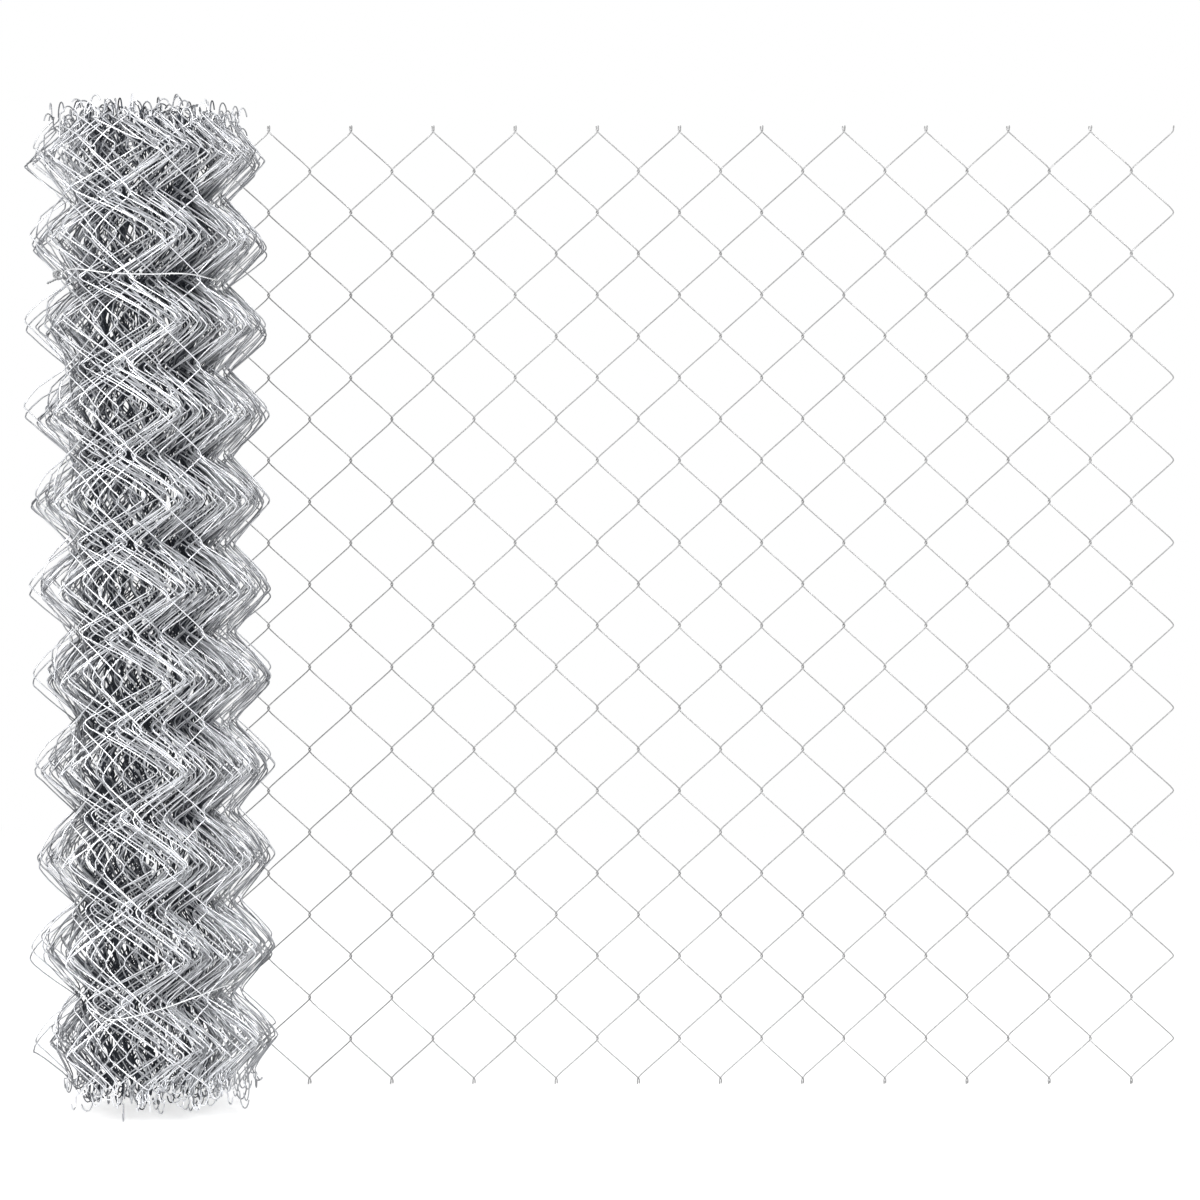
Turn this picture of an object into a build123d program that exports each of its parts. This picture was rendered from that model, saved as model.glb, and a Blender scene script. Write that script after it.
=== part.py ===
"""A roll of galvanised chain-link fencing that stands on its end, with its outer end pulled out flat behind it."""
import math
import os

from build123d import *

# The fence fabric: zigzag wires, each one hooked into its neighbours along the columns
fence_height = 1000.0
mesh_width = 85.56
mesh_height = 86.0
wire_diameter = 1.4
fabric_thickness = 7.0
bend_rise = 4.0
hook_clearance = 0.65
selvage_hook = 5.5
hook_return = 4.0
wire_sides = 4

# The end that is pulled out flat
run_length = 1069.5
first_column_x = -26.9

# The roll, pressed together so that every second column of bends stands out in rows, a little further apart
# than the mesh is high
tip_radius = 117.0
waist_radius = 78.0
end_radius = 84.0
core_radius = 25.0
lowest_tip = 70.0
row_stretch = 1.012
turn_pitch = 14.0
first_turn_radius = 35.0
turn_groove = 5.0
groove_depth = 8.0
turns = 3
turn_sides = 12

# The two wires that tie the roll
tie_diameter = 1.4
tie_sides = 4
loose_tie_radius = 88.0
pigtail_length = 16.0
pigtail_angle = 195.0
upper_tie_rows = 2
lower_tie_rows = 1

# How far apart pieces lie that rest against each other
seat_gap = 0.25

# The sizes that follow from these
column_count = round(2 * run_length / mesh_width)
column_pitch = run_length / column_count
row_count = 2 * round((fence_height - 2 * selvage_hook) / mesh_height - 1 / 2) + 1
row_pitch = (fence_height - 2 * selvage_hook) / row_count
hook_overlap = wire_diameter + hook_clearance
plane_offset = (fabric_thickness - wire_diameter) / 2
half_rise = bend_rise / 2
tie_radius = tie_diameter / 2
tip_pitch = mesh_height * row_stretch
flank_slope = (tip_radius - waist_radius) / (tip_pitch / 2)
flank_length_share = math.hypot(1, flank_slope)
end_taper = (tip_radius - end_radius) / flank_slope
tip_rows = math.floor((fence_height - lowest_tip - end_taper) / tip_pitch) + 1
highest_tip = lowest_tip + (tip_rows - 1) * tip_pitch


def section_radius(sides, diameter):
    """Corner radius of the many-sided section that has as much steel as the round wire."""
    return diameter * math.sqrt(math.pi / (2 * sides * math.sin(2 * math.pi / sides)))


def swept_wire(points, sides, diameter):
    """One wire with mitred bends along a chain of points."""
    path = Polyline(points)
    section = (path ^ 0) * RegularPolygon(section_radius(sides, diameter), sides, rotation=180 / sides)
    return sweep(section, path=path, transition=Transition.RIGHT)


def zigzag_wire(starts_left):
    """One wire of the fabric: it climbs in front to the left, behind to the right, and is hooked at both ends."""
    left = -hook_overlap / 2
    right = column_pitch + hook_overlap / 2
    front = -plane_offset
    back = plane_offset
    foot = wire_diameter / 2
    head = fence_height - foot
    points = []
    on_left = starts_left
    side, near, far = (left, back, front) if on_left else (right, front, back)
    points.append((side, far, foot + hook_return))
    points.append((side, far, foot))
    points.append((side, near, foot))
    points.append((side, near, selvage_hook))
    for row in range(1, row_count):
        on_left = not on_left
        side, near, far = (left, front, back) if on_left else (right, back, front)
        height = selvage_hook + row * row_pitch
        points.append((side, near, height - half_rise))
        points.append((side, far, height + half_rise))
    on_left = not on_left
    side, near, far = (left, front, back) if on_left else (right, back, front)
    points.append((side, near, fence_height - selvage_hook))
    points.append((side, near, head))
    points.append((side, far, head))
    points.append((side, far, head - hook_return))
    return swept_wire(points, wire_sides, wire_diameter)


def turn_marks():
    """The spiral gap between the turns, as it shows on an end: straight chords, one for each stiff wire."""
    inner = []
    outer = []
    for step in range(turns * turn_sides + 1):
        angle = 360 * step / turn_sides
        radius = first_turn_radius + turn_pitch * step / turn_sides
        inner.append(Vector(radius - turn_groove / 2, 0).rotate(Axis.Z, angle))
        outer.append(Vector(radius + turn_groove / 2, 0).rotate(Axis.Z, angle))
    return make_face(Polyline(inner + outer[::-1], close=True))


def roll_solid():
    """The wound fabric as one turned solid: bends stand out in rows, and the turns show on both ends."""
    outline = [(core_radius, 0), (end_radius, 0), (end_radius, lowest_tip - end_taper)]
    for row in range(tip_rows):
        tip = lowest_tip + row * tip_pitch
        outline.append((tip_radius, tip))
        if row < tip_rows - 1:
            outline.append((waist_radius, tip + tip_pitch / 2))
    outline.append((end_radius, highest_tip + end_taper))
    outline.append((end_radius, fence_height))
    outline.append((core_radius, fence_height))
    body = revolve(Plane.XZ * make_face(Polyline(outline, close=True)), Axis.Z)
    body -= extrude(turn_marks(), groove_depth)
    body -= Pos(0, 0, fence_height) * extrude(turn_marks(), -groove_depth)
    return body


def tie_ring(radius, height):
    """A loop of tie wire round the roll."""
    section = RegularPolygon(section_radius(tie_sides, tie_diameter), tie_sides)
    return revolve(Plane.XZ * Pos(radius, height) * section, Axis.Z)


def upper_tie():
    """The tight tie: it lies in the bottom of its notch, and its two ends stand out as a pigtail."""
    height = highest_tip - (upper_tie_rows - 1 / 2) * tip_pitch
    radius = waist_radius + (tie_radius + seat_gap) * flank_length_share
    tie = tie_ring(radius, height)
    end = Plane.YZ * RegularPolygon(section_radius(tie_sides, tie_diameter), tie_sides)
    prong = Pos(radius, 0, 0) * extrude(end, pigtail_length)
    for side in (-1, 1):
        tie += Pos(0, 0, height) * Rot(0, 0, pigtail_angle) * Pos(0, side * tie_radius, 0) * prong
    return tie


def lower_tie():
    """The loose tie: it has slid down onto the shoulder of the lowest row."""
    notch = lowest_tip + (lower_tie_rows - 1 / 2) * tip_pitch
    rest = notch - (loose_tie_radius - waist_radius) / flank_slope
    height = rest + (tie_radius + seat_gap) * flank_length_share / flank_slope
    return tie_ring(loose_tie_radius, height)


os.makedirs("parts", exist_ok=True)
export_step(roll_solid(), "parts/roll.step")
export_step(upper_tie(), "parts/tie_upper.step")
export_step(lower_tie(), "parts/tie_lower.step")

# The flat end leans on the rows of the roll where its first wire crosses them
first_bend = selvage_hook + 2 * row_pitch
crossing_x = first_column_x + (first_bend - lowest_tip) * column_pitch / row_pitch
row_face = math.sqrt(tip_radius ** 2 - crossing_x ** 2)
run_y = row_face + seat_gap + wire_diameter / 2 + plane_offset
wires = {True: zigzag_wire(True), False: zigzag_wire(False)}
for column in range(column_count):
    wire = Pos(first_column_x + column * column_pitch, run_y, 0) * wires[column % 2 == 0]
    export_step(wire, f"parts/run_wire_{column + 1:02d}.step")
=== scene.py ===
"""A tied roll of galvanised chain-link fencing with its outer end pulled out flat, dressed over its CAD frame."""
import math

import bpy
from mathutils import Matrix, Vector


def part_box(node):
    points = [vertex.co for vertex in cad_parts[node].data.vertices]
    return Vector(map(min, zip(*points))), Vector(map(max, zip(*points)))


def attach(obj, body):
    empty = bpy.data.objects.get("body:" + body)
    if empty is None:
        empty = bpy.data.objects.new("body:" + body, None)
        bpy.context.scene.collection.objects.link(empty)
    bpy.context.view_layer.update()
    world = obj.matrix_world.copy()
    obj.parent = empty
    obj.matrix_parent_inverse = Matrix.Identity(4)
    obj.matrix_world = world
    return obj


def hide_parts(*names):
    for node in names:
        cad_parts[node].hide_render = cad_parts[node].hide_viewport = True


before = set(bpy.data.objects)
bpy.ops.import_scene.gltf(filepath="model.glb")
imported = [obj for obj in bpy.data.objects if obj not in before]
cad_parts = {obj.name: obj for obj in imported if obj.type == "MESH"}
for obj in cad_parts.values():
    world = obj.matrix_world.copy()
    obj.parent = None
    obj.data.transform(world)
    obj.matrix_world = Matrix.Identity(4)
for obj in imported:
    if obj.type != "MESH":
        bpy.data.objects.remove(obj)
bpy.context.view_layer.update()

# The wound fabric. Zigzag wires of galvanised steel are hooked into one another, folded together like pleats
# and wound up from the core outwards. Every second column of bends points outwards, so that the bends stand out
# in eleven rows.


class Field:
    """One value in a node tree: sums, products and the like on it add the tree's Math nodes."""

    def __init__(self, tree, socket=None):
        self.tree = tree
        self.socket = socket

    def node(self, kind, settings, sockets, output=0):
        """Adds any other node: its type, its settings, then the values or links of its sockets."""
        made = self.tree.nodes.new(kind)
        for name, value in settings.items():
            setattr(made, name, value)
        for key, value in sockets.items():
            if isinstance(value, Field):
                self.tree.links.new(value.socket, made.inputs[key])
            else:
                made.inputs[key].default_value = value
        return Field(self.tree, made.outputs[output])

    def math(self, operation, *values):
        """Adds a Math node."""
        return self.node("ShaderNodeMath", {"operation": operation}, dict(enumerate(values)))

    def __add__(self, other):
        return self.math("ADD", self, other)

    def __radd__(self, other):
        return self.math("ADD", other, self)

    def __sub__(self, other):
        return self.math("SUBTRACT", self, other)

    def __rsub__(self, other):
        return self.math("SUBTRACT", other, self)

    def __mul__(self, other):
        return self.math("MULTIPLY", self, other)

    def __rmul__(self, other):
        return self.math("MULTIPLY", other, self)

    def __truediv__(self, other):
        return self.math("DIVIDE", self, other)

    def __rtruediv__(self, other):
        return self.math("DIVIDE", other, self)

    def __mod__(self, other):
        return self.math("FLOORED_MODULO", self, other)

    def __neg__(self):
        return self.math("MULTIPLY", self, -1.0)

    def sine(self):
        return self.math("SINE", self)

    def cosine(self):
        return self.math("COSINE", self)

    def root(self):
        return self.math("SQRT", self)

    def within(self, low, high):
        """The value, held between two others."""
        return self.math("MAXIMUM", self.math("MINIMUM", self, high), low)


def woven_tree(name, sizes, rows, bend_sharpness, column_place):
    """A tree of zigzag wires: each one swings between two neighbouring columns that column_place sets out in
    plan, in front on one way and behind on the other, and is hooked over at both ends."""
    row_points = 8
    wire_points = row_points * (rows + 2) + 1
    bend_crowding = 0.8
    crossing_sharpness = 2.6
    mean_bow, bow_difference = 0.6, 0.4
    hook_sweep = 0.85 * math.pi
    hook_swing = 2.4
    least_head_drop = 0.3
    head_darkening = 0.9
    tree = bpy.data.node_groups.new(name, "GeometryNodeTree")
    tree.is_modifier = True
    tree.interface.new_socket("Wires", in_out="OUTPUT", socket_type="NodeSocketGeometry")
    for label, value in sizes.items():
        kind = "NodeSocketInt" if isinstance(value, int) else "NodeSocketFloat"
        tree.interface.new_socket(label, in_out="INPUT", socket_type=kind).default_value = value
    tree.interface.new_socket("Metal", in_out="INPUT", socket_type="NodeSocketMaterial")
    given = {socket.name: Field(tree, socket) for socket in tree.nodes.new("NodeGroupInput").outputs}
    weave = Field(tree)

    def chance(number, seed, low=-1.0, high=1.0):
        """A random number for each whole number."""
        return weave.node("FunctionNodeRandomValue", {"data_type": "FLOAT"},
                          {2: low, 3: high, 7: number, 8: given["Seed"] + seed}, 1)

    index = weave.node("GeometryNodeInputIndex", {}, {})
    wire = weave.math("FLOOR", index / wire_points) + given["First wire"]
    step = index % wire_points / row_points - 1
    row = step.within(0, rows)
    climb = row - (row * math.tau).sine() * (bend_crowding / math.tau)
    swing = climb * math.pi
    fold = 0.5 - weave.math("ARCSINE", swing.cosine() * bend_sharpness) / (2 * math.asin(bend_sharpness))
    at_foot = (1 - row).within(0, 1)
    at_head = (row - rows + 1).within(0, 1)
    fold = fold + (1 - fold) * (at_foot + at_head) * given["End spread"]
    side = (swing.sine() * crossing_sharpness).within(-1, 1)

    odd = wire % 2
    even_x, even_y = column_place(given, chance, wire + odd, row, -1)
    odd_x, odd_y = column_place(given, chance, wire + 1 - odd, row, 1)
    reach_x = odd_x - even_x
    reach_y = odd_y - even_y
    reach = (reach_x * reach_x + reach_y * reach_y).root()
    way_x = reach_x / reach
    way_y = reach_y / reach

    foot_turn = (-step).within(0, 1) * hook_sweep
    head_turn = (step - rows).within(0, 1) * hook_sweep
    hook_rise = given["Hook rise"] * (1 + given["Hook scatter"] * chance(wire, 11))
    hook_angle = given["Hook scatter"] * chance(wire, 12) * hook_swing
    head_side = -1 if rows % 2 else 1
    hook = (head_side * (1 - head_turn.cosine()) - (1 - foot_turn.cosine())) * given["Hook width"] / 2
    bow = swing.sine() * swing.sine() * (mean_bow - bow_difference * side)
    bow = bow * given["Bow"] * chance(wire, 13, 0.0, 1.0)
    along = fold * reach + (fold * 2 - 1) * given["Overlap"] + bow + hook * hook_angle.sine()
    across = side * given["Half thickness"] + hook * hook_angle.cosine()
    z = given["Foot height"] + climb * given["Row pitch"] + given["Height scatter"] * chance(wire, 14)
    z = z + (row * (math.pi / rows)).sine() * given["Slip"]
    z = z - at_head * given["Head drop"] * chance(wire, 18, least_head_drop, 1.0)
    z = z + at_foot * given["Foot lift"] * chance(wire, 19, 0.0, 1.0)
    z = z + hook_rise * (head_turn.sine() - foot_turn.sine())
    rise = z - given["Middle height"]
    lean = given["Lean"] + given["Tilt"] * chance(wire, 15)
    x = even_x + way_x * along - way_y * across + rise * lean
    y = even_y + way_y * along + way_x * across + rise * given["Tilt"] * chance(wire, 16)
    from_tie = weave.math("ABSOLUTE", z - given["Tie height"])
    pinch = (1 - from_tie / given["Pinch reach"]).within(0, 1)
    y = y * (1 - given["Pinch"] * pinch * pinch * (3 - 2 * pinch))
    z = weave.math("MAXIMUM", z, given["Wire radius"])

    count = given["Wires"] * wire_points
    points = weave.node("GeometryNodePoints", {}, {"Count": count})
    place = weave.node("ShaderNodeCombineXYZ", {}, {"X": x, "Y": y, "Z": z})
    points = weave.node("GeometryNodeSetPosition", {}, {"Geometry": points, "Position": place})
    # Painted shade: the wires darken from the outer turns in towards the middle of the roll, where the turns
    # around them would shade them; it is full inside one radius and ends outside the other.
    from_middle = x - given["Dull middle"]
    out = (from_middle * from_middle + y * y / (given["Depth share"] * given["Depth share"])).root()
    shine = ((out - given["Dull radius"]) / (given["Bright radius"] - given["Dull radius"])).within(0, 1)
    # The wires are also darker at their outward bends and at their heads.
    bend_and_head_darkening = weave.math("MAXIMUM", fold * fold, at_head * head_darkening)
    shine = shine * given["Shine"] * (1 + given["Shine scatter"] * chance(wire, 17))
    shine = shine * (1 - given["Rub"] * bend_and_head_darkening)
    points = weave.node("GeometryNodeStoreNamedAttribute", {"data_type": "FLOAT", "domain": "POINT"},
                        {"Geometry": points, "Name": "shine", "Value": shine})
    lines = weave.node("GeometryNodePointsToCurves", {},
                       {"Points": points, "Curve Group ID": wire, "Weight": index})
    circle = weave.node("GeometryNodeCurvePrimitiveCircle", {"mode": "RADIUS"},
                        {"Resolution": given["Wire sides"], "Radius": given["Wire radius"]})
    mesh = weave.node("GeometryNodeCurveToMesh", {},
                      {"Curve": lines, "Profile Curve": circle, "Fill Caps": True})
    mesh = weave.node("GeometryNodeSetShadeSmooth", {}, {"Geometry": mesh})
    mesh = weave.node("GeometryNodeRealizeInstances", {}, {"Geometry": mesh})
    mesh = weave.node("GeometryNodeSetMaterial", {}, {"Geometry": mesh, "Material": given["Metal"]})
    tree.links.new(mesh.socket, tree.nodes.new("NodeGroupOutput").inputs["Wires"])
    return tree


def woven_piece(name, tree, sizes, metal):
    """One plain mesh of wires from the tree with these sizes."""
    piece = bpy.data.objects.new(name, bpy.data.meshes.new(name))
    bpy.context.scene.collection.objects.link(piece)
    weaving = piece.modifiers.new("weaving", "NODES")
    weaving.node_group = tree
    for item in tree.interface.items_tree:
        if item.in_out == "INPUT":
            weaving[item.identifier] = metal if item.name == "Metal" else sizes[item.name]
    ready = piece.evaluated_get(bpy.context.evaluated_depsgraph_get())
    mesh = bpy.data.meshes.new_from_object(ready)
    piece.modifiers.remove(weaving)
    piece.data = mesh
    return piece


def wound_column(given, chance, column, row, outward):
    """Where a column of bends stands on the spiral: half a fold out or in, the way that the pleats lean there.
    A column drifts in and out and sways from side to side on its way up."""
    drift_share = 0.35
    back_sharpness = 2
    least_fold_share = 0.6
    turn = given["Start angle"] + column * given["Column angle"]
    radius = given["Core radius"] + given["Turn growth"] * column * given["Column angle"] / math.tau
    slack = given["Tip slack"] if outward > 0 else given["Waist slack"]
    drift = (row * given["Drift pace"] + chance(column, 25, 0.0, math.tau)).sine()
    radius = radius - slack * (chance(column, 24, 0.0, 1.0) + drift_share * drift).within(0, 1)
    x = radius * turn.cosine()
    y = radius * turn.sine() * given["Depth share"]
    behind = (turn.sine() * back_sharpness).within(0, 1)
    flatness = given["Flatness"] + (1 - given["Flatness"]) * behind
    odd_turn = column.math("FLOOR", turn / math.tau) % 2
    split = given["Split"] + given["Split step"] * (1 - 2 * odd_turn)
    lean = column.math("ARCTAN2", y * flatness, x - split * (1 - behind))
    lean = lean + given["Fan"] * chance(column, 21)
    sway = (row * given["Sway pace"] + chance(column, 26, 0.0, math.tau)).sine()
    lean = lean + given["Sway"] * sway
    fold_share = (radius / given["Full fold radius"]).within(least_fold_share, 1)
    half_fold = given["Fold depth"] / 2 * outward * fold_share
    x = x + half_fold * lean.cosine() + given["Scatter"] * chance(column, 22)
    y = y + half_fold * lean.sine() + given["Scatter"] * chance(column, 23)
    return x, y


def galvanised(name, dull_and_shaded, bright, roughness):
    """Zinc on drawn steel wire, with patches, fine crystals and a skin that is a little uneven. Its colour goes
    from dull to bright by a point attribute, which holds painted shade inside the roll and the wire's own tone."""
    patch_scale, crystal_scale, grain_scale = 14.0, 420.0, 900.0
    even_shine, patch_shine, crystal_shine = 0.75, 0.3, 0.2
    dull_roughness, grain_roughness = 0.22, 0.06
    bump_strength, bump_height, crystal_height = 0.25, 0.0002, 0.5
    metal = bpy.data.materials.new(name)
    metal.use_nodes = True
    tree = metal.node_tree
    shader = tree.nodes["Principled BSDF"]
    skin = Field(tree)
    place = skin.node("ShaderNodeTexCoord", {}, {}, "Object")
    patches = skin.node("ShaderNodeTexNoise", {}, {"Vector": place, "Scale": patch_scale, "Detail": 3.0})
    crystals = skin.node("ShaderNodeTexVoronoi", {}, {"Vector": place, "Scale": crystal_scale}, "Color")
    crystal = skin.node("ShaderNodeSeparateColor", {}, {"Color": crystals})
    grain = skin.node("ShaderNodeTexNoise", {}, {"Vector": place, "Scale": grain_scale, "Detail": 2.0})
    # The attribute holds painted shade, darker inside the roll, as well as the wire's own tone.
    attribute_shade_and_shine = skin.node("ShaderNodeAttribute", {"attribute_name": "shine"}, {}, "Fac")
    shine = (attribute_shade_and_shine * (even_shine + patches * patch_shine + crystal * crystal_shine)).within(0, 1)
    colour = skin.node("ShaderNodeMix", {"data_type": "RGBA"},
                       {0: shine, 6: (*dull_and_shaded, 1), 7: (*bright, 1)}, 2)
    tree.links.new(colour.socket, shader.inputs["Base Color"])
    rough = roughness + dull_roughness * (1 - shine) + grain_roughness * grain
    tree.links.new(rough.socket, shader.inputs["Roughness"])
    uneven = grain + crystal * crystal_height
    bump = skin.node("ShaderNodeBump", {},
                     {"Strength": bump_strength, "Distance": bump_height, "Height": uneven})
    tree.links.new(bump.socket, shader.inputs["Normal"])
    shader.inputs["Metallic"].default_value = 1.0
    return metal


zinc = galvanised("bright_zinc", (0.046, 0.052, 0.064), (0.915, 0.926, 0.955), 0.22)
wire_radius = 0.0007
wound_rows, wound_sharpness = 22, 0.96
turn_pieces, piece_wires, innermost_wire = 5, 56, 20
wound_sizes = {
    "Wires": piece_wires, "First wire": innermost_wire, "Seed": 3, "Wire sides": 6, "Wire radius": wire_radius,
    "Core radius": 0.044, "Turn growth": 0.0101, "Column angle": 0.113, "Start angle": 1.4,
    "Depth share": 0.95, "Fold depth": 0.046, "Full fold radius": 0.08,
    "Split": -0.022, "Split step": 0.04, "Flatness": 0.4, "Fan": 0.3, "Scatter": 0.003,
    "Tip slack": 0.024, "Waist slack": 0.006, "Drift pace": 0.83, "Sway": 0.3, "Sway pace": 0.62,
    "Row pitch": 0.0435, "Foot height": 0.0265, "Middle height": 0.505, "Height scatter": 0.0085,
    "Slip": 0.012, "Half thickness": 0.004, "Overlap": 0.001, "Bow": 0.009, "Lean": -0.014, "Tilt": 0.006,
    "End spread": 0.4, "Hook rise": 0.011, "Hook width": 0.012, "Hook scatter": 0.5, "Head drop": 0.02,
    "Foot lift": 0.02, "Tie height": 0.817, "Pinch": 0.1, "Pinch reach": 0.035,
    # The last of these darkens the wires at their outward bends and heads.
    "Shine": 0.95, "Shine scatter": 0.6, "Rub": 0.62,
    # Painted shade: these radii darken the wires towards the middle of the roll.
    "Dull radius": 0.059, "Bright radius": 0.088, "Dull middle": -0.004,
}
wound_tree = woven_tree("wound_weave", wound_sizes, wound_rows, wound_sharpness, wound_column)
for number in range(turn_pieces):
    turn_sizes = {**wound_sizes, "First wire": innermost_wire + piece_wires * number}
    turns = woven_piece(f"roll_turns_{number + 1}", wound_tree, turn_sizes, zinc)
    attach(turns, "root")
    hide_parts("roll")

# The open laps across the front of the roll. The same fabric, loosened until its wires lie side by side again,
# so that its mesh shows in front of the pleats. They lie close on the pleats, and the upper tie holds them.
lap_sizes = {
    **wound_sizes, "Wires": 3, "First wire": 0, "Turn growth": 0.002, "Depth share": 0.98, "Fold depth": 0.006,
    "Split step": 0.0, "Flatness": 1.0, "Fan": 0.1, "Sway": 0.1, "Tip slack": 0.002, "Waist slack": 0.002,
    "Height scatter": 0.005, "Bow": 0.004, "End spread": 0.0, "Rub": 0.0,
}
lap_column_pitch = 0.041
lap_first_seed = 40
for number, (start, radius) in enumerate(((228, 0.102), (236, 0.095), (263, 0.098))):
    lap_place = {"Seed": lap_first_seed + number, "Core radius": radius, "Start angle": math.radians(start),
                 "Column angle": lap_column_pitch / radius}
    lap = woven_piece(f"roll_front_lap_{number + 1}", wound_tree, {**lap_sizes, **lap_place}, zinc)
    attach(lap, "root")
    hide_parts("roll")

# The front folds. Some wires of the outermost turn are pressed flat to the right or the left, one beside the
# other, and their long runs cross the front of the roll and fill the notches at its right. They are of the same
# galvanised wire, duller towards the right edge.
fold_sizes = {
    **wound_sizes, "First wire": 0, "Turn growth": 0.002, "Column angle": 0.07, "Depth share": 0.98,
    "Full fold radius": 0.05, "Split step": 0.0, "Flatness": 4.0, "Fan": 0.15, "Sway": 0.2, "Tip slack": 0.006,
    "Waist slack": 0.002, "Height scatter": 0.008, "Bow": 0.006, "Rub": 0.1,
}
fold_first_seed = 60
right, left = -1.0, 1.0
fold_groups = (
    (6, 258, 0.097, 0.07, right, 0.95), (6, 270, 0.095, 0.056, right, 0.95), (5, 286, 0.093, 0.05, right, 0.95),
    (8, 302, 0.092, 0.05, right, 0.9), (6, 318, 0.092, 0.05, right, 0.8), (5, 234, 0.095, 0.05, left, 0.95),
    (5, 330, 0.09, 0.045, right, 0.7), (5, 337, 0.1, 0.036, right, 0.5), (5, 357, 0.1, 0.036, right, 0.4),
)
for number, (wires, start, radius, depth, way, shine) in enumerate(fold_groups):
    fold_place = {"Wires": wires, "Seed": fold_first_seed + number, "Core radius": radius,
                  "Start angle": math.radians(start), "Fold depth": depth, "Split": way, "Shine": shine}
    front_folds = woven_piece(f"roll_front_folds_{number + 1}", wound_tree, {**fold_sizes, **fold_place}, zinc)
    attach(front_folds, "root")
    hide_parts("roll")

# The flat run. Twenty-five wires of the same fabric stand side by side behind the roll, each one hooked into
# its neighbours at every bend, with short hooks over their ends. They lean on the back of the roll.
run_wires = 25
run_rows, run_sharpness = 23, 0.99
run_woven_height = 0.989
bend_overlap = 0.001025
corner_share = 1.2533  # how much further a corner of the CAD wire reaches than the round wire
first_wire_low, first_wire_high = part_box("run_wire_01")
last_wire_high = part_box(f"run_wire_{run_wires}")[1]
hook_reach = bend_overlap + wire_radius * corner_share
column_pitch = (last_wire_high[0] - first_wire_low[0] - 2 * hook_reach) / run_wires
run_sizes = {
    "Wires": 1, "First wire": 0, "Seed": 0, "Wire sides": 8, "Wire radius": wire_radius,
    "First column": first_wire_low[0] + hook_reach, "Column pitch": column_pitch,
    "Depth": (first_wire_low[1] + first_wire_high[1]) / 2,
    "Row pitch": run_woven_height / run_rows, "Foot height": 0.0055, "Middle height": 0.5,
    "Height scatter": 0.0, "Slip": 0.0, "Half thickness": 0.0028, "Overlap": bend_overlap, "Bow": 0.0,
    "Lean": 0.0, "Tilt": 0.0, "End spread": 0.0, "Hook rise": 0.0038, "Hook width": 0.003, "Hook scatter": 0.0,
    "Head drop": 0.0, "Foot lift": 0.0, "Tie height": 0.0, "Pinch": 0.0, "Pinch reach": 1.0,
    "Shine": 0.38, "Shine scatter": 0.05, "Rub": 0.0,
    # The flat run gets no painted shade.
    "Dull radius": -1.0, "Bright radius": -0.5, "Dull middle": 0.0, "Depth share": 1.0,
}


def run_column(given, chance, column, row, outward):
    """Where a column of the flat run stands: straight, at even steps."""
    return column * given["Column pitch"] + given["First column"], given["Depth"] + column * 0


run_tree = woven_tree("flat_weave", run_sizes, run_rows, run_sharpness, run_column)
weathered_zinc = galvanised("weathered_zinc", (0.05, 0.05, 0.051), (0.92, 0.92, 0.925), 0.22)
for number in range(run_wires):
    wire_sizes = {**run_sizes, "First wire": number}
    wire = woven_piece(f"run_wire_{number + 1:02d}_round", run_tree, wire_sizes, weathered_zinc)
    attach(wire, "root")
    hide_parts(f"run_wire_{number + 1:02d}")

# The upper tie. A thin galvanised wire is pulled round the roll in one of its notches, and its two ends are
# twisted together into a short pigtail at the left.
tie_metal = galvanised("tie_zinc", (0.08, 0.083, 0.088), (0.92, 0.93, 0.94), 0.2)
tie_radius = 0.0007


def bent_wire(name, points, radius, metal, darker_left_of_x):
    """A round wire along a smooth line through these points, as a plain mesh, darker left of
    the x that is given."""
    plain_shine, darkened_shine = 1.0, 0.42
    line = bpy.data.curves.new(name, "CURVE")
    line.dimensions = "3D"
    line.bevel_depth = radius
    line.bevel_resolution = 2
    line.use_fill_caps = True
    spline = line.splines.new("NURBS")
    spline.points.add(len(points) - 1)
    for spot, (x, y, z) in zip(spline.points, points):
        spot.co = (x, y, z, 1)
    spline.order_u = 3
    spline.use_endpoint_u = True
    spline.resolution_u = 4
    draft = bpy.data.objects.new(name + "_line", line)
    bpy.context.scene.collection.objects.link(draft)
    mesh = bpy.data.meshes.new_from_object(draft.evaluated_get(bpy.context.evaluated_depsgraph_get()))
    bpy.data.objects.remove(draft)
    mesh.name = name
    mesh.materials.clear()
    mesh.materials.append(metal)
    shine = mesh.attributes.new("shine", "FLOAT", "POINT")
    shades = [darkened_shine if spot.co.x < darker_left_of_x else plain_shine for spot in mesh.vertices]
    shine.data.foreach_set("value", shades)
    piece = bpy.data.objects.new(name, mesh)
    bpy.context.scene.collection.objects.link(piece)
    return piece


def tie_loop(middle_x, half_width, half_depth, start, height_at, steps=60):
    """Points once round the roll, from one angle to itself again, on an oval that is a little square."""
    squareness = 0.7
    points = []
    for step in range(steps + 1):
        angle = start + math.tau * step / steps
        x, y = math.cos(angle), math.sin(angle)
        points.append((middle_x + half_width * math.copysign(abs(x) ** squareness, x),
                       half_depth * math.copysign(abs(y) ** squareness, y),
                       height_at(angle)))
    return points


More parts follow.
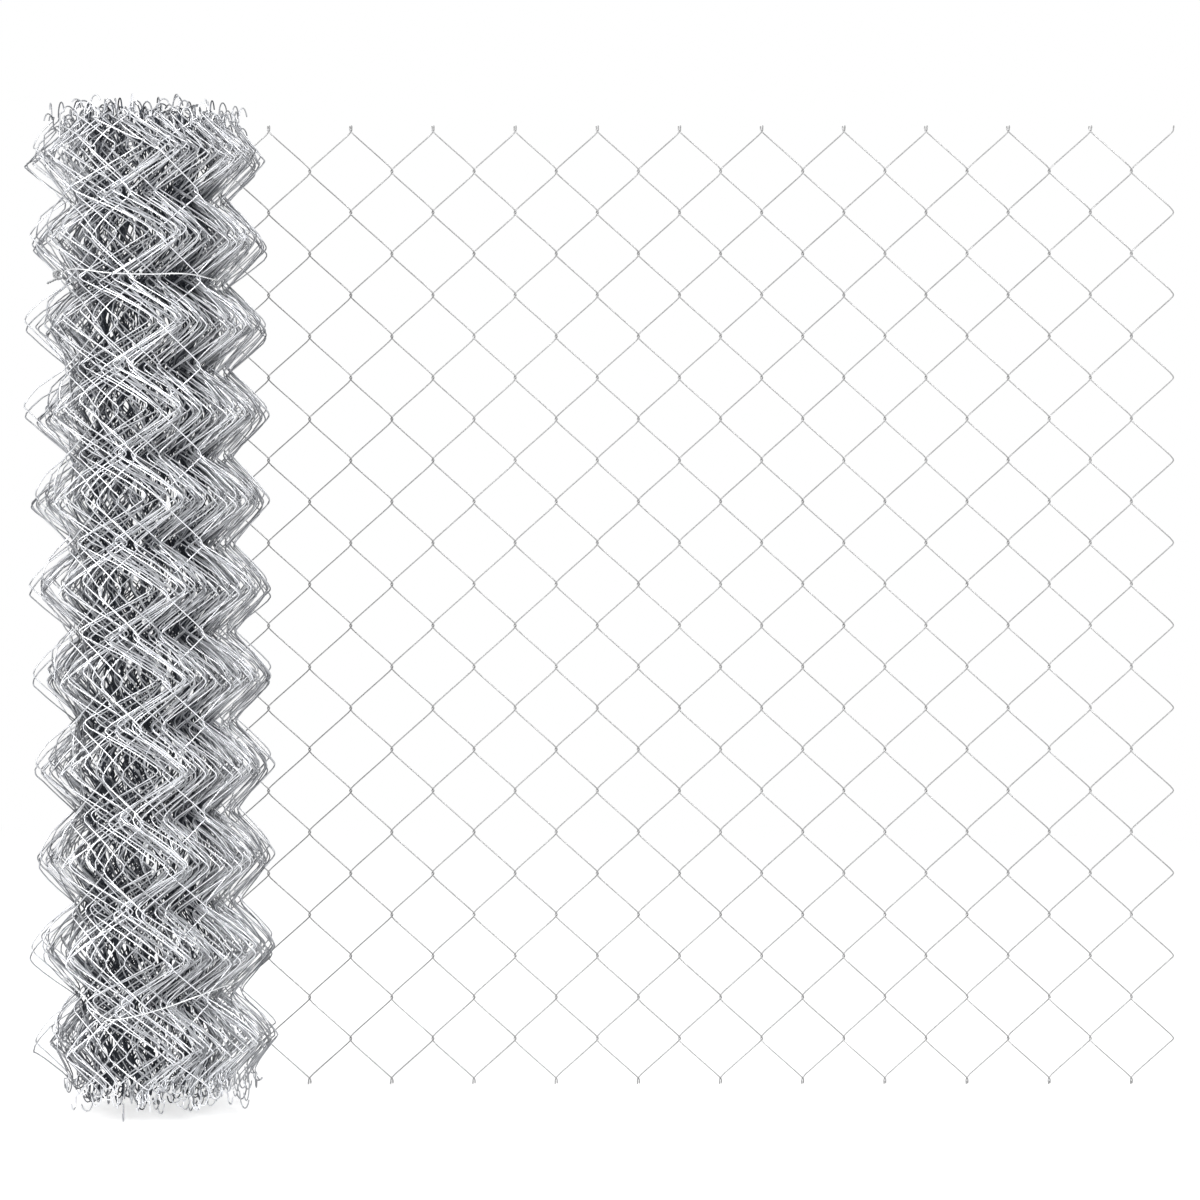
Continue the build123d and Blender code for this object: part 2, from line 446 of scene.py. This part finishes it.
def twisted_end(root, way, length, turns, phase, steps=18):
    """Points along one of two ends that are knotted and then twisted round each other, from the loop
    outwards."""
    knot_steps, knot_turns = 2 * steps, 3.2
    knot_size, knot_swell, swell_pace = 0.0036, 0.0012, 0.7
    knot_shift, knot_front, knot_depth = 0.6, 0.005, 0.002
    tail_shift, tail_drop = 0.002, 0.003
    twist_share, parting, parting_start = 1.05, 1.5, 0.85
    points = []
    for step in range(knot_steps):
        angle = phase / 2 + math.tau * knot_turns * step / knot_steps
        knot_radius = knot_size + knot_swell * math.sin(swell_pace * angle + phase)
        points.append((root[0] + knot_radius * (math.cos(angle) - knot_shift),
                       root[1] - knot_front - knot_depth * math.cos(angle / 3 + phase),
                       root[2] + knot_radius * math.sin(angle)))
    root = (root[0] - tail_shift, root[1] - knot_front, root[2] - tail_drop)
    for step in range(steps + 1):
        share = step / steps
        angle = phase + math.tau * turns * share
        spread = tie_radius * (twist_share + parting * max(0, share - parting_start))
        points.append((root[0] + way[0] * length * share - way[1] * spread * math.cos(angle),
                       root[1] + way[1] * length * share + way[0] * spread * math.cos(angle),
                       root[2] + way[2] * length * share + spread * math.sin(angle)))
    return points


def upper_height(angle):
    """How high the tie lies: it waves a little between the rows."""
    mean_height, wave, wave_start, ripple = 0.819, 0.003, 0.6, 0.0015
    return mean_height + wave * math.sin(2 * angle + wave_start) + ripple * math.sin(5 * angle)


loop_middle_x, loop_half_width, loop_half_depth = -0.004, 0.077, 0.103
pigtail_turn = math.radians(203)
pigtail_way = (-0.80, -0.38, -0.46)
pigtail_length, pigtail_twists = 0.013, 2.5
# The upper tie is darker left of this x, over its knot and pigtail.
knot_darkening_x = -0.076
loop = tie_loop(loop_middle_x, loop_half_width, loop_half_depth, pigtail_turn, upper_height)
first_end = twisted_end(loop[0], pigtail_way, pigtail_length, pigtail_twists, 0.0)
second_end = twisted_end(loop[0], pigtail_way, pigtail_length, pigtail_twists, math.pi)
upper_line = first_end[::-1] + loop[1:-1] + second_end
upper_tie = bent_wire("tie_upper_wire", upper_line, tie_radius, tie_metal, knot_darkening_x)
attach(upper_tie, "root")
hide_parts("tie_upper")

# The lower tie. The same thin galvanised wire in a looser loop, which has slid down at the front onto the
# lowest row and lies higher at the sides. Its ends meet at the back, and no part of it is darker.
no_darkening_x = -1.0
lower_loop = [(0.06, 0.085, 0.112), (0.088, 0.02, 0.124), (0.087, -0.055, 0.132), (0.071, -0.096, 0.13),
              (0.034, -0.116, 0.118), (-0.006, -0.12, 0.108), (-0.022, -0.119, 0.108), (-0.034, -0.117, 0.12),
              (-0.046, -0.113, 0.133), (-0.06, -0.095, 0.138), (-0.082, -0.04, 0.136), (-0.084, 0.03, 0.12),
              (-0.05, 0.09, 0.11), (0.01, 0.104, 0.108), (0.06, 0.085, 0.112)]
lower_tie = bent_wire("tie_lower_wire", lower_loop, tie_radius, tie_metal, no_darkening_x)
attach(lower_tie, "root")
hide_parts("tie_lower")

# The studio. A white floor keeps the soft shadow and fades into the white all round. Two large soft lamps stand
# in front, and the camera looks square at the flat run from half the height of the fence.
floor_reach = 9
fade_start, fade_length = 1.2, 2.0
floor_lift, mirrored_share = 0.55, 0.82
white = (1, 1, 1, 1)
floor_mesh = bpy.data.meshes.new("studio_floor")
floor_corners = [(floor_reach * x, floor_reach * y, 0) for x, y in ((-1, -1), (1, -1), (1, 1), (-1, 1))]
floor_mesh.from_pydata(floor_corners, [], [(0, 1, 2, 3)])
floor = bpy.data.objects.new("studio_floor", floor_mesh)
bpy.context.scene.collection.objects.link(floor)
paper = bpy.data.materials.new("white_paper")
paper.use_nodes = True
sheet = Field(paper.node_tree)
spot = sheet.node("ShaderNodeTexCoord", {}, {}, "Object")
distance = sheet.node("ShaderNodeVectorMath", {"operation": "LENGTH"}, {0: spot}, "Value")
far = ((distance - fade_start) / fade_length).within(0, 1)
floor_rays = sheet.node("ShaderNodeLightPath", {}, {}, "Is Camera Ray")
floor_mirrored = Field(paper.node_tree, floor_rays.socket.node.outputs["Is Glossy Ray"])
lamp_glow = sheet.node("ShaderNodeEmission", {}, {"Color": white, "Strength": floor_lift})
lifted_rays = floor_rays + floor_mirrored * mirrored_share
lift = sheet.node("ShaderNodeMixShader", {}, {0: lifted_rays, 2: lamp_glow})
glow = sheet.node("ShaderNodeEmission", {}, {"Color": white, "Strength": 1.0})
paper_shader = paper.node_tree.nodes["Principled BSDF"]
paper_shader.inputs["Base Color"].default_value = (0.93, 0.93, 0.93, 1)
paper_shader.inputs["Roughness"].default_value = 0.9
matt = Field(paper.node_tree, paper_shader.outputs[0])
lit = sheet.node("ShaderNodeAddShader", {}, {0: matt, 1: lift})
blend = sheet.node("ShaderNodeMixShader", {}, {0: far, 1: lit, 2: glow})
paper.node_tree.links.new(blend.socket, paper.node_tree.nodes["Material Output"].inputs["Surface"])
floor_mesh.materials.append(paper)

unseen_glow, seen_glow = 0.35, 1.0
world = bpy.data.worlds.new("studio")
bpy.context.scene.world = world
world.use_nodes = True
air = Field(world.node_tree)
looked_at = air.node("ShaderNodeLightPath", {}, {}, "Is Camera Ray")
mirrored = Field(world.node_tree, looked_at.socket.node.outputs["Is Glossy Ray"])
looked_through = Field(world.node_tree, looked_at.socket.node.outputs["Is Transmission Ray"])
seen = (looked_at + mirrored + looked_through).within(0, 1)
backdrop = world.node_tree.nodes["Background"]
backdrop.inputs["Color"].default_value = white
backdrop_glow = unseen_glow + (seen_glow - unseen_glow) * seen
world.node_tree.links.new(backdrop_glow.socket, backdrop.inputs["Strength"])

lamp_size = 1.3
lamp_goal = (0.3, 0.0, 0.5)
for name, spot, power in (("right_lamp", (2.0, -2.0, 2.2), 50.0), ("left_lamp", (-1.6, -1.8, 2.0), 40.0)):
    lamp = bpy.data.lights.new(name, "AREA")
    lamp.size = lamp_size
    lamp.energy = power
    holder = bpy.data.objects.new(name, lamp)
    holder.location = spot
    aim = [goal - here for goal, here in zip(lamp_goal, spot)]
    turn = math.atan2(aim[1], aim[0]) - math.pi / 2
    tip = math.atan2(aim[2], math.hypot(aim[0], aim[1])) + math.pi / 2
    holder.rotation_euler = (tip, 0, turn)
    bpy.context.scene.collection.objects.link(holder)

lens = bpy.data.cameras.new("camera")
lens.sensor_width = 36.0
lens.lens = 75.5
camera = bpy.data.objects.new("camera", lens)
camera.location = (0.4465, -2.5, 0.505)
camera.rotation_euler = (math.pi / 2, 0, 0)
bpy.context.scene.collection.objects.link(camera)
bpy.context.scene.camera = camera
bpy.context.scene.view_settings.view_transform = "Standard"
